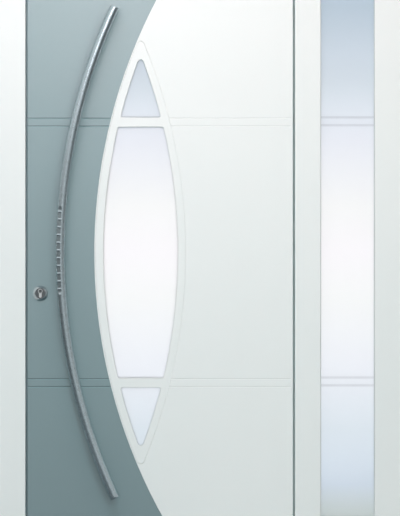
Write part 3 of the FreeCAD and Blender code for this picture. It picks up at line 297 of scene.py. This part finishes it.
def finish(name, dark, light, roughness, scale=900.0, stretch=(1, 1, 1), bump=0.00002,
           metallic=0.0):
    """A surface whose colour runs between two near shades with its grain, and its bump."""
    material, tree, shader = new_material(name)
    shader.inputs["Metallic"].default_value = metallic
    shade, height = add_grain(tree, scale, stretch)
    tree.links.new(two_shades(tree, shade, dark, light), shader.inputs["Base Color"])
    tree.links.new(add_range(tree, shade, *GRAIN_RANGE, *roughness), shader.inputs["Roughness"])
    add_bump(tree, shader, height, bump)
    return material


def dress(names, material):
    """Gives CAD nodes one material in place of their plain one."""
    for name in names:
        mesh = nodes[name].data
        mesh.materials.clear()
        mesh.materials.append(material)


powder_coat = finish("white powder coat", (0.885, 0.892, 0.888), (0.905, 0.91, 0.905),
                     (0.42, 0.5), scale=1400.0, bump=0.000025)
dress(["frame_jamb_left", "frame_jamb_right", "frame_head", "frame_mullion",
       "sidelight_bottom_rail", "sidelight_bead_left", "sidelight_bead_right",
       "sidelight_bead_top", "sidelight_bead_bottom"], powder_coat)

# Threshold: an extruded aluminium sill, anodised natural, with the extrusion's fine lines
# running along it. The spacers between the panes have the same finish.
anodised = finish("natural anodised aluminium", (0.60, 0.61, 0.62), (0.70, 0.71, 0.72),
                  (0.32, 0.45), scale=420.0, stretch=(0.02, 1, 1), bump=0.00003, metallic=0.85)
dress(["threshold", "sidelight_spacer", "eye_spacers"], anodised)

# Seals: extruded black rubber, dull, with a faint bloom. The stop seal is a round bulb that
# the leaf presses, with a thin lip beside it, mitred in the two top corners. The sidelight's
# gasket is light grey silicone.
rubber = finish("black rubber", (0.018, 0.018, 0.02), (0.035, 0.035, 0.038), (0.62, 0.8),
                scale=1200.0, bump=0.00004)
silicone = finish("grey silicone", (0.70, 0.73, 0.74), (0.78, 0.81, 0.82), (0.5, 0.62),
                  scale=1200.0, bump=0.00002)
dress(["drop_seal"], rubber)
dress(["sidelight_gasket"], silicone)


def surface(name, points, material, uv=None):
    """Mesh over grids of points whose rows run along a piece and whose columns run round it.

    The array is (copies, rows, columns, 3). Each face joins four neighbours, the last column
    meets the first, and the first and last rows are closed by one face each. Faces are turned
    outwards by the sign of the volume that they enclose.
    """
    copies, rows, columns = points.shape[:3]
    index = np.arange(copies * rows * columns).reshape(copies, rows, columns)
    nearby = np.roll(index, -1, axis=2)
    quads = np.stack([index[:, :-1], nearby[:, :-1], nearby[:, 1:], index[:, 1:]],
                     axis=-1).reshape(copies, -1, 4)
    vertices = points.reshape(-1, 3)
    corners = vertices[quads[0]]
    spread = np.cross(corners[:, 2] - corners[:, 0], corners[:, 3] - corners[:, 1])
    inward = ((corners.mean(axis=1) - points[0].mean(axis=(0, 1))) * spread).sum() < 0
    faces = quads.reshape(-1, 4).tolist() + index[:, 0, ::-1].tolist() + index[:, -1].tolist()
    if inward:
        faces = [face[::-1] for face in faces]
    mesh = bpy.data.meshes.new(name)
    mesh.from_pydata(vertices.tolist(), [], faces)
    mesh.polygons.foreach_set("use_smooth", np.full(len(faces), True))
    mesh.set_sharp_from_angle(angle=math.radians(30))
    if uv is not None:
        layer = mesh.uv_layers.new(name="UVMap")
        corner = np.empty(len(mesh.loops), dtype=np.int32)
        mesh.loops.foreach_get("vertex_index", corner)
        layer.data.foreach_set("uv", uv.reshape(-1, 2)[corner].ravel())
    mesh.materials.append(material)
    piece = bpy.data.objects.new(name, mesh)
    scene.collection.objects.link(piece)
    return piece


def run_round(profile, left, right, top, left_low, right_low):
    """Carries a profile up the left side, across the top and down the right side.

    A profile point is (offset, depth): the offset moves it outwards from the line through
    left, top and right, so that the corners come out mitred.
    """
    out, depth = np.array(profile).T
    x = np.stack([left - out, left - out, right + out, right + out])
    z = np.stack([np.full_like(out, left_low), top + out, top + out,
                  np.full_like(out, right_low)])
    return np.stack([x, np.broadcast_to(depth, x.shape), z], axis=-1)[None]


DOOR_LEFT, DOOR_RIGHT, DOOR_TOP, SILL_LEVEL = -0.655, 0.356, 2.155, 0.020
SEAL_SEAT, BULB_MIDDLE, BULB_HALF, BULB_HEIGHT = -0.008, 0.0072, 0.0035, 0.0043
bend = np.linspace(0, math.pi, 13)
seal_profile = [(0.0035, SEAL_SEAT),
                *zip(BULB_MIDDLE - BULB_HALF * np.cos(bend),
                     SEAL_SEAT + BULB_HEIGHT * np.sin(bend)),
                (0.0112, -0.0079), (0.0118, -0.0052), (0.0123, -0.0052), (0.0124, SEAL_SEAT)]
stop_seal = surface("stop_seal", run_round(seal_profile, DOOR_LEFT, DOOR_RIGHT, DOOR_TOP,
                                           SILL_LEVEL, SILL_LEVEL), rubber)
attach(stop_seal, "root")
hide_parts("door_stop_seal")

# Thermal breaks: black glass-filled nylon strips, rolled into the recesses between the inner
# and outer shells of the frame and leaf profiles, with two fine ribs along them. On the lock
# side they are parted at the strike plate and at the lock faceplate.
nylon = finish("black nylon strip", (0.022, 0.022, 0.024), (0.04, 0.04, 0.042), (0.45, 0.6),
               scale=900.0, bump=0.00003)


def ribbed(seat, outward, start):
    """A strip 16 mm wide and 0.4 mm thick on its seat; its two ribs stand 0.35 mm over it."""
    across = np.array([0, 0, 4, 4.5, 5.5, 6, 10, 10.5, 11.5, 12, 16, 16]) / 1000
    height = np.array([0, 0.4, 0.4, 0.75, 0.75, 0.4, 0.4, 0.75, 0.75, 0.4, 0.4, 0]) / 1000
    return np.column_stack([seat + outward * height, start + across])


def upright(profile, left, low, high):
    """Carries a profile straight up on the left side."""
    out, depth = profile.T
    rows = [np.column_stack([left - out, depth, np.full_like(out, z)]) for z in (low, high)]
    return np.stack(rows)[None]


LEAF_LEFT, LEAF_RIGHT, LEAF_TOP, LEAF_LOW = -0.647, 0.348, 2.147, 0.027
STRIKE_LOW, STRIKE_HIGH, FACEPLATE_LOW, FACEPLATE_HIGH = 0.886, 1.090, 0.866, 1.110
frame_strip = ribbed(0.0235, -1, 0.0)
leaf_strip = ribbed(0.0215, 1, 0.005)
for name, body, points in (
        ("frame_break_strip", "root",
         run_round(frame_strip, DOOR_LEFT, DOOR_RIGHT, DOOR_TOP, STRIKE_HIGH, SILL_LEVEL)),
        ("frame_break_strip_low", "root",
         upright(frame_strip, DOOR_LEFT, SILL_LEVEL, STRIKE_LOW)),
        ("leaf_break_strip", "leaf",
         run_round(leaf_strip, LEAF_LEFT, LEAF_RIGHT, LEAF_TOP, FACEPLATE_HIGH, LEAF_LOW)),
        ("leaf_break_strip_low", "leaf",
         upright(leaf_strip, LEAF_LEFT, LEAF_LOW, FACEPLATE_LOW))):
    strip = surface(name, points, nylon)
    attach(strip, body)

# Sidelight and eye panes: float glass whose face is etched to a satin white, with four fine lines
# left clear at the levels of the leaf's grooves. Its colour carries painted light over the height:
# bluish at the top and bottom, brightest in the middle. The inner pane of each unit is clear.
GROOVE_LEVELS = (1.59025, 1.56075, 0.61325, 0.58375)
GLASS_IOR = 1.45


def object_axes(tree):
    axes = tree.nodes.new("ShaderNodeSeparateXYZ")
    tree.links.new(object_point(tree), axes.inputs[0])
    return axes.outputs


def line_group():
    """Mask of the lines along the grooves, moved up by Offset and Half wide to each side.

    The lines reach as far as Reach to both sides of Middle.
    """
    group = bpy.data.node_groups.new("lines at the grooves", "ShaderNodeTree")
    face = group.interface
    for name in ("Offset", "Half", "Middle", "Reach"):
        face.new_socket(name, in_out="INPUT", socket_type="NodeSocketFloat")
    face.new_socket("Mask", in_out="OUTPUT", socket_type="NodeSocketFloat")
    enter = group.nodes.new("NodeGroupInput").outputs
    leave = group.nodes.new("NodeGroupOutput")
    right, _, high = object_axes(group)
    height = add_math(group, "SUBTRACT", high, enter["Offset"])
    total = add_math(group, "COMPARE", height, GROOVE_LEVELS[0], enter["Half"])
    for level in GROOVE_LEVELS[1:]:
        found = add_math(group, "COMPARE", height, level, enter["Half"])
        total = add_math(group, "ADD", total, found)
    mask = add_math(group, "COMPARE", right, enter["Middle"], enter["Reach"])
    group.links.new(add_math(group, "MULTIPLY", mask, total), leave.inputs["Mask"])
    return group


LINES = line_group()


def base_color(shader):
    """What is linked to a shader's base colour so far."""
    return shader.inputs["Base Color"].links[0].from_socket


def line_over(material, offset, half, factor, middle=0.0, reach=2.0):
    """Multiplies a surface's colour by a factor in one line along each groove."""
    tree = material.node_tree
    shader = tree.nodes["Principled BSDF"]
    lines = tree.nodes.new("ShaderNodeGroup")
    lines.node_tree = LINES
    for socket, value in zip(lines.inputs, (offset, half, middle, reach)):
        socket.default_value = value
    lined = mix_colors(tree, lines.outputs["Mask"], base_color(shader), (factor,) * 3,
                       "MULTIPLY")
    tree.links.new(lined, shader.inputs["Base Color"])


satin, tree, shader = new_material("satin glass")
shader.inputs["Transmission Weight"].default_value = 0.85
shader.inputs["IOR"].default_value = GLASS_IOR
# Painted light: a ramp over the panes' height, bluish at the ends and white in the middle.
painted_light_ramp = tree.nodes.new("ShaderNodeValToRGB")
painted_light_stops = [(0.0, (0.93, 1.0, 1.0)), (0.05, (0.79, 0.87, 0.97)), (0.16, (0.77, 0.83, 0.89)),
         (0.28, (0.865, 0.88, 0.93)), (0.42, (0.92, 0.92, 0.925)), (0.51, (0.94, 0.915, 0.94)),
         (0.60, (0.905, 0.90, 0.905)), (0.73, (0.80, 0.815, 0.875)),
         (0.83, (0.75, 0.81, 0.88)), (0.90, (0.71, 0.785, 0.875)), (1.0, (0.55, 0.655, 0.76))]
while len(painted_light_ramp.color_ramp.elements) < len(painted_light_stops):
    painted_light_ramp.color_ramp.elements.new(0.5)
for stop, (spot, color) in zip(painted_light_ramp.color_ramp.elements, painted_light_stops):
    stop.position = spot
    stop.color = (*color, 1)
PAINTED_LIGHT_LOW, PAINTED_LIGHT_HIGH = 0.12, 2.02
level = add_range(tree, object_axes(tree)["Z"], PAINTED_LIGHT_LOW, PAINTED_LIGHT_HIGH)
tree.links.new(level, painted_light_ramp.inputs["Fac"])
tree.links.new(painted_light_ramp.outputs["Color"], shader.inputs["Base Color"])
shade, height = add_grain(tree, 2500.0)
tree.links.new(add_range(tree, shade, 0.0, 1.0, 0.26, 0.32), shader.inputs["Roughness"])
add_bump(tree, shader, height, 0.00001)
line_over(satin, 0.0043, 0.0042, 0.8)
dress(["sidelight_glass_outer", "eye_glass_outer"], satin)
clear, tree, shader = new_material("clear glass")
shader.inputs["Base Color"].default_value = (0.97, 0.985, 0.98, 1)
shader.inputs["Transmission Weight"].default_value = 1.0
shader.inputs["IOR"].default_value = GLASS_IOR
smear, _ = add_grain(tree, 14.0)
tree.links.new(add_range(tree, smear, 0.0, 1.0, 0.0, 0.04), shader.inputs["Roughness"])
dress(["sidelight_glass_inner", "eye_glass_inner"], clear)

# Leaf: a core of rigid foam in a frame of profiles between skins. The outer side has a grey
# pearl lacquer and, over it, a white sheet whose edge is an arc; the inner side is white. The
# lock stile is grey as far in as the thermal break, which is painted shade for the gap beside it.
# Along each groove a line of painted shade lies over a line of painted highlight.
foam = finish("rigid foam", (0.70, 0.66, 0.50), (0.82, 0.78, 0.62), (0.85, 0.95), scale=700.0,
              bump=0.0002)
dress(["panel_core"], foam)
THERMAL_BREAK = 0.013
stile_coat_painted_gap_shade = finish("profile coat with painted gap shade", (0.885, 0.892, 0.888), (0.905, 0.91, 0.905),
                      (0.42, 0.5), scale=1400.0, bump=0.000025)
tree = stile_coat_painted_gap_shade.node_tree
shader = tree.nodes["Principled BSDF"]
# Painted shade: the lock stile is grey on its outer side so that the gap beside it reads dark.
inner_side = add_math(tree, "GREATER_THAN", object_axes(tree)["Y"], THERMAL_BREAK)
tree.links.new(mix_colors(tree, inner_side, (0.34, 0.41, 0.44), base_color(shader)),
               shader.inputs["Base Color"])
dress(["leaf_stile_lock"], stile_coat_painted_gap_shade)
dress(["leaf_stile_hinge", "leaf_rail_top", "leaf_rail_bottom"], powder_coat)

# Painted shade lies in a line over each groove's level and a painted highlight in a line under it.
PAINTED_SHADE_LINE, PAINTED_HIGHLIGHT_LINE = (0.0013, 0.0014), (-0.0017, 0.0015)
grey_lacquer = finish("grey pearl lacquer", (0.101, 0.193, 0.214), (0.111, 0.213, 0.234),
                      (0.43, 0.47), scale=2200.0, bump=0.00001)
grey_lacquer.node_tree.nodes["Principled BSDF"].inputs["IOR"].default_value = 3.0
# Painted shade over each groove and painted highlight under it on the grey skin.
line_over(grey_lacquer, *PAINTED_SHADE_LINE, 0.5)
line_over(grey_lacquer, *PAINTED_HIGHLIGHT_LINE, 1.5)
dress(["outer_skin_grey"], grey_lacquer)
white_lacquer = finish("white satin lacquer", (0.892, 0.896, 0.892), (0.905, 0.908, 0.903),
                       (0.40, 0.46), scale=1800.0, bump=0.000012)
dress(["eye_surround"], white_lacquer)
WHITE_GROOVES = (0.0593, 0.2818)
white_lacquer_painted_groove_lines = white_lacquer.copy()
white_lacquer_painted_groove_lines.name = "white satin lacquer with painted groove shade"
# The same painted shade and painted highlight, fainter, on the white sheet.
line_over(white_lacquer_painted_groove_lines, *PAINTED_SHADE_LINE, 0.9, *WHITE_GROOVES)
line_over(white_lacquer_painted_groove_lines, *PAINTED_HIGHLIGHT_LINE, 1.06, *WHITE_GROOVES)
dress(["outer_skin_white"], white_lacquer_painted_groove_lines)
inside_coat = finish("inside powder coat", (0.86, 0.865, 0.855), (0.885, 0.89, 0.88),
                     (0.45, 0.52), scale=1200.0, bump=0.00003)
dress(["inner_skin", "eye_inner_trim"], inside_coat)

# Bar handle: a stainless tube bent to the curve of the leaf and ground along its length. A shallow
# flat is milled into its outer front side, and eleven low ridges across it are left for the grip.
# Each end is closed by a turned cap with a neck behind its disc, and four turned posts hold it.
CURVE_X, CURVE_Z, BAR_RADIUS, BAR_Y = 1.64776, 1.087, 2.17026, -0.110
HALF_SPAN, CAP_LENGTH, ROD, COLUMNS = 0.9195, 0.009, 0.017, 96
FLAT_DEPTH, FLAT_END_RADIUS, FLAT_TURN = 0.0017, 0.05, math.radians(26)
RIDGE_HEIGHT, RIDGE_WIDTH, RIDGE_PITCH, RIDGE_FIRST = 0.0012, 0.0024, 0.0288, -0.136
RIDGES, FLAT_PAST_RIDGE, FINE_PAST_RIDGE = 11, 0.008, 0.025
PLAIN_ROWS, FINE_ROWS = 62, 431


def on_bar(along, around, radius):
    """Place on the bent bar at a length along it, an angle round it and a distance from its axis.

    The angle is measured at the axis from the front towards the outer side of the bend.
    """
    slope = along / BAR_RADIUS
    outer = np.stack([-np.cos(slope), np.zeros_like(slope), np.sin(slope)], axis=-1)
    centre = np.array([CURVE_X, BAR_Y, CURVE_Z]) + BAR_RADIUS * outer
    across = radius * np.sin(around)
    forward = radius * np.cos(around)
    return centre + across[..., None] * outer - forward[..., None] * np.array([0, 1.0, 0])


half_bar = BAR_RADIUS * math.asin(HALF_SPAN / BAR_RADIUS) - CAP_LENGTH
ridges = RIDGE_FIRST + RIDGE_PITCH * np.arange(RIDGES)
grip_low, grip_high = ridges[0] - FINE_PAST_RIDGE, ridges[-1] + FINE_PAST_RIDGE
rows = np.concatenate([np.linspace(-half_bar, grip_low, PLAIN_ROWS)[:-1],
                       np.linspace(grip_low, grip_high, FINE_ROWS),
                       np.linspace(grip_high, half_bar, PLAIN_ROWS)[1:]])
turn = np.linspace(0, 2 * math.pi, COLUMNS, endpoint=False)
along, around = np.meshgrid(rows, turn, indexing="ij")

# Seen from the bar's axis the flat lies at the rod's radius less the depth, over the cosine of
# the angle to the flat's own side. Each ridge adds a bell curve, and past the first and the last
# ridge the cutter's round end runs out to the rod. The flat stays within 60 degrees of its side.
toward = np.cos(around - FLAT_TURN)
past_ridges = np.maximum(np.abs(along - ridges.mean()) - np.ptp(ridges) / 2 - FLAT_PAST_RIDGE,
                         0.0)
flat_level = ROD - FLAT_DEPTH + past_ridges ** 2 / (2 * FLAT_END_RADIUS)
for ridge in ridges:
    flat_level = flat_level + RIDGE_HEIGHT * np.exp(-((along - ridge) / RIDGE_WIDTH) ** 2)
radius = np.where(toward > 0.5, np.minimum(ROD, flat_level / np.maximum(toward, 0.5)), ROD)

# The grinding marks run along the bar: noise over its UV map, drawn out along its length.
steel, tree, shader = new_material("ground stainless steel")
shader.inputs["Metallic"].default_value = 1.0
along_bar = tree.nodes.new("ShaderNodeUVMap")
stretch = tree.nodes.new("ShaderNodeVectorMath")
stretch.operation = "MULTIPLY"
stretch.inputs[1].default_value = (3000.0, 40.0, 1.0)
tree.links.new(along_bar.outputs["UV"], stretch.inputs[0])
streaks = tree.nodes.new("ShaderNodeTexNoise")
streaks.inputs["Scale"].default_value = 1.0
streaks.inputs["Detail"].default_value = 4.0
tree.links.new(stretch.outputs[0], streaks.inputs["Vector"])
streak = streaks.outputs["Fac"]
tree.links.new(two_shades(tree, streak, (0.47, 0.565, 0.60), (0.54, 0.635, 0.67)),
               shader.inputs["Base Color"])
tree.links.new(add_range(tree, streak, *GRAIN_RANGE, 0.25, 0.31), shader.inputs["Roughness"])
add_bump(tree, shader, streak, 0.000004)
lengthwise = np.stack([around * ROD, along], axis=-1)
ground_bar = surface("ground_bar", on_bar(along, around, radius)[None], steel, lengthwise)
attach(ground_bar, "leaf")
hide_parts("handle_bar")

# A cap's radius at each length past the bar's end: neck, disc, bevel and a face turned slightly
# hollow.
cap_length = np.array([0.0, 0.0011, 0.0012, 0.0074, 0.0079, 0.0088, 0.009, 0.0089, 0.0087])
cap_radius = np.array([0.0158, 0.0158, 0.0169, 0.017, 0.0168, 0.0159, 0.0154, 0.0100, 0.0005])
for name, end, node in (("turned_cap_top", 1, "handle_cap_top"),
                        ("turned_cap_bottom", -1, "handle_cap_bottom")):
    length, angle = np.meshgrid(end * (half_bar + cap_length), turn, indexing="ij")
    wide = np.broadcast_to(cap_radius[:, None], length.shape)
    cap = surface(name, on_bar(length, angle, wide)[None], steel,
                  np.stack([angle * ROD, length], axis=-1))
    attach(cap, "leaf")
    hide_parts(node)
turned_steel = finish("turned stainless steel", (0.45, 0.54, 0.575), (0.52, 0.61, 0.645),
                      (0.24, 0.34), scale=300.0, stretch=(0.05, 1, 0.05), bump=0.00002,
                      metallic=1.0)
dress(["handle_post_upper", "handle_post_upper_middle", "handle_post_lower_middle",
       "handle_post_lower"], turned_steel)

# Lock: a turned chrome rosette round a nickel-plated profile cylinder with a dark plug. The
# rosette's colour holds a painted reflection: its flat face is painted dark and its bevel bright.
LOCK_X, ROSETTE_Z, ROSETTE_FACE = -0.5985, 0.934, 0.0197
chrome_painted_reflection = finish("chrome with painted reflection", (0.15, 0.17, 0.18), (0.19, 0.21, 0.22), (0.05, 0.12),
                scale=500.0, bump=0.000004, metallic=1.0)
tree = chrome_painted_reflection.node_tree
shader = tree.nodes["Principled BSDF"]
from_axis = tree.nodes.new("ShaderNodeVectorMath")
from_axis.operation = "MULTIPLY_ADD"
from_axis.inputs[1].default_value = (1.0, 0.0, 1.0)
from_axis.inputs[2].default_value = (-LOCK_X, 0.0, -ROSETTE_Z)
tree.links.new(object_point(tree), from_axis.inputs[0])
reach = length_of(tree, from_axis.outputs["Vector"])
# Painted reflection: the bevel outside the flat face gets a bright colour, the face a dark one.
bevel = add_math(tree, "GREATER_THAN", reach, ROSETTE_FACE)
tree.links.new(mix_colors(tree, bevel, base_color(shader), (0.52, 0.56, 0.58)),
               shader.inputs["Base Color"])
dress(["rosette_outside"], chrome_painted_reflection)
nickel = finish("nickel plate", (0.84, 0.88, 0.89), (0.90, 0.93, 0.94), (0.2, 0.3),
                scale=900.0, bump=0.00001, metallic=1.0)
dress(["lock_cylinder"], nickel)
plug_steel = finish("dark plug", (0.16, 0.18, 0.19), (0.22, 0.24, 0.25), (0.25, 0.35),
                    scale=900.0, bump=0.00001, metallic=1.0)
dress(["key_plug"], plug_steel)

# Inside plate, lever, faceplate, bolts and strike plate: satin stainless steel. Button-head
# screws hold the plates.
satin_steel = finish("satin stainless steel", (0.52, 0.53, 0.54), (0.62, 0.63, 0.64),
                     (0.28, 0.4), scale=600.0, stretch=(1, 1, 0.05), bump=0.00002, metallic=1.0)
dress(["inside_plate", "lever_handle", "lock_faceplate", "latch_bolt", "dead_bolt",
       "strike_plate"], satin_steel)


def screw_heads(name, places, facing, size, body, material):
    """Button heads with a hexagon socket, each on its place and facing one way.

    Rings run out from the socket's floor: its radius is the flat's distance over the cosine of
    the angle to the nearest flat. The head's rings are circles, and its last is under the face.
    """
    radius, height = size
    facing = np.array(facing, dtype=float)
    side = np.array([0.0, 0.0, 1.0])
    other = np.cross(facing, side)
    around = np.linspace(0, 2 * math.pi, 36, endpoint=False)
    hexagon = 0.38 * radius / np.cos((around + math.pi / 6) % (math.pi / 3) - math.pi / 6)
    circle = np.ones_like(around)
    rings = np.stack([hexagon * 0.9, hexagon, hexagon * 1.05, 0.72 * radius * circle,
                      0.94 * radius * circle, radius * circle, radius * circle])
    level = np.array([0.15, 0.92, 1.0, 0.97, 0.62, 0.25, -0.3]) * height
    offset = (rings[..., None] * (np.cos(around)[:, None] * side + np.sin(around)[:, None] * other)
              + level[:, None, None] * facing)
    heads = surface(name, np.array(places)[:, None, None, :] + offset, material)
    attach(heads, body)


FACEPLATE_FACE, STRIKE_FACE, BOLT_LINE, INSIDE_PLATE_FACE = -0.670, -0.677, 0.016, 0.047
LOW_HEAD, PLATE_HEAD, HINGE_HEAD = (0.0035, 0.0008), (0.004, 0.001), (0.0045, 0.0022)
screw_heads("faceplate_screws", [(FACEPLATE_FACE, BOLT_LINE, z) for z in (0.878, 1.098, 0.966)],
            (-1, 0, 0), LOW_HEAD, "leaf", satin_steel)
screw_heads("strike_screws", [(STRIKE_FACE, BOLT_LINE, z) for z in (0.896, 1.080)],
            (1, 0, 0), LOW_HEAD, "root", satin_steel)
screw_heads("inside_plate_screws", [(LOCK_X, INSIDE_PLATE_FACE, z) for z in (0.884, 1.092)],
            (0, 1, 0), PLATE_HEAD, "leaf", satin_steel)

# Hinges: cast wings, powder-coated like the frame, each held by four button-head screws, with a
# domed plug in each end of the barrel.
PIVOT, HINGE_LEVELS, BARREL_HALF = (0.3745, 0.050), (0.257, 1.087, 1.917), 0.0485
WING_FACE, SCREW_HALF = 0.044, 0.036
dress([name for name in nodes if name.startswith("hinge_")], powder_coat)
heights = [z + step for z in HINGE_LEVELS for step in (-SCREW_HALF, SCREW_HALF)]
for name, body, columns in (("hinge_leaf_screws", "leaf", (0.3345, 0.3515)),
                            ("hinge_frame_screws", "root", (0.3975, 0.4145))):
    screw_heads(name, [(x, WING_FACE, z) for x in columns for z in heights], (0, 1, 0),
                HINGE_HEAD, body, satin_steel)
dome_radius = np.array([0.0098, 0.0098, 0.0094, 0.0083, 0.006, 0.0003])
dome_level = np.array([-0.001, 0.0006, 0.0014, 0.0021, 0.0027, 0.003])
around = np.linspace(0, 2 * math.pi, 48, endpoint=False)
ring = np.stack([np.cos(around), np.sin(around)], axis=-1)
dome = dome_radius[:, None, None] * ring + PIVOT
for name, end in (("hinge_plugs_top", 1), ("hinge_plugs_bottom", -1)):
    plugs = [np.concatenate([dome, np.broadcast_to(
        (z + end * (BARREL_HALF + dome_level))[:, None, None], (*dome.shape[:2], 1))], axis=-1)
             for z in HINGE_LEVELS]
    barrel_plugs = surface(name, np.stack(plugs), powder_coat)
    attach(barrel_plugs, "root")
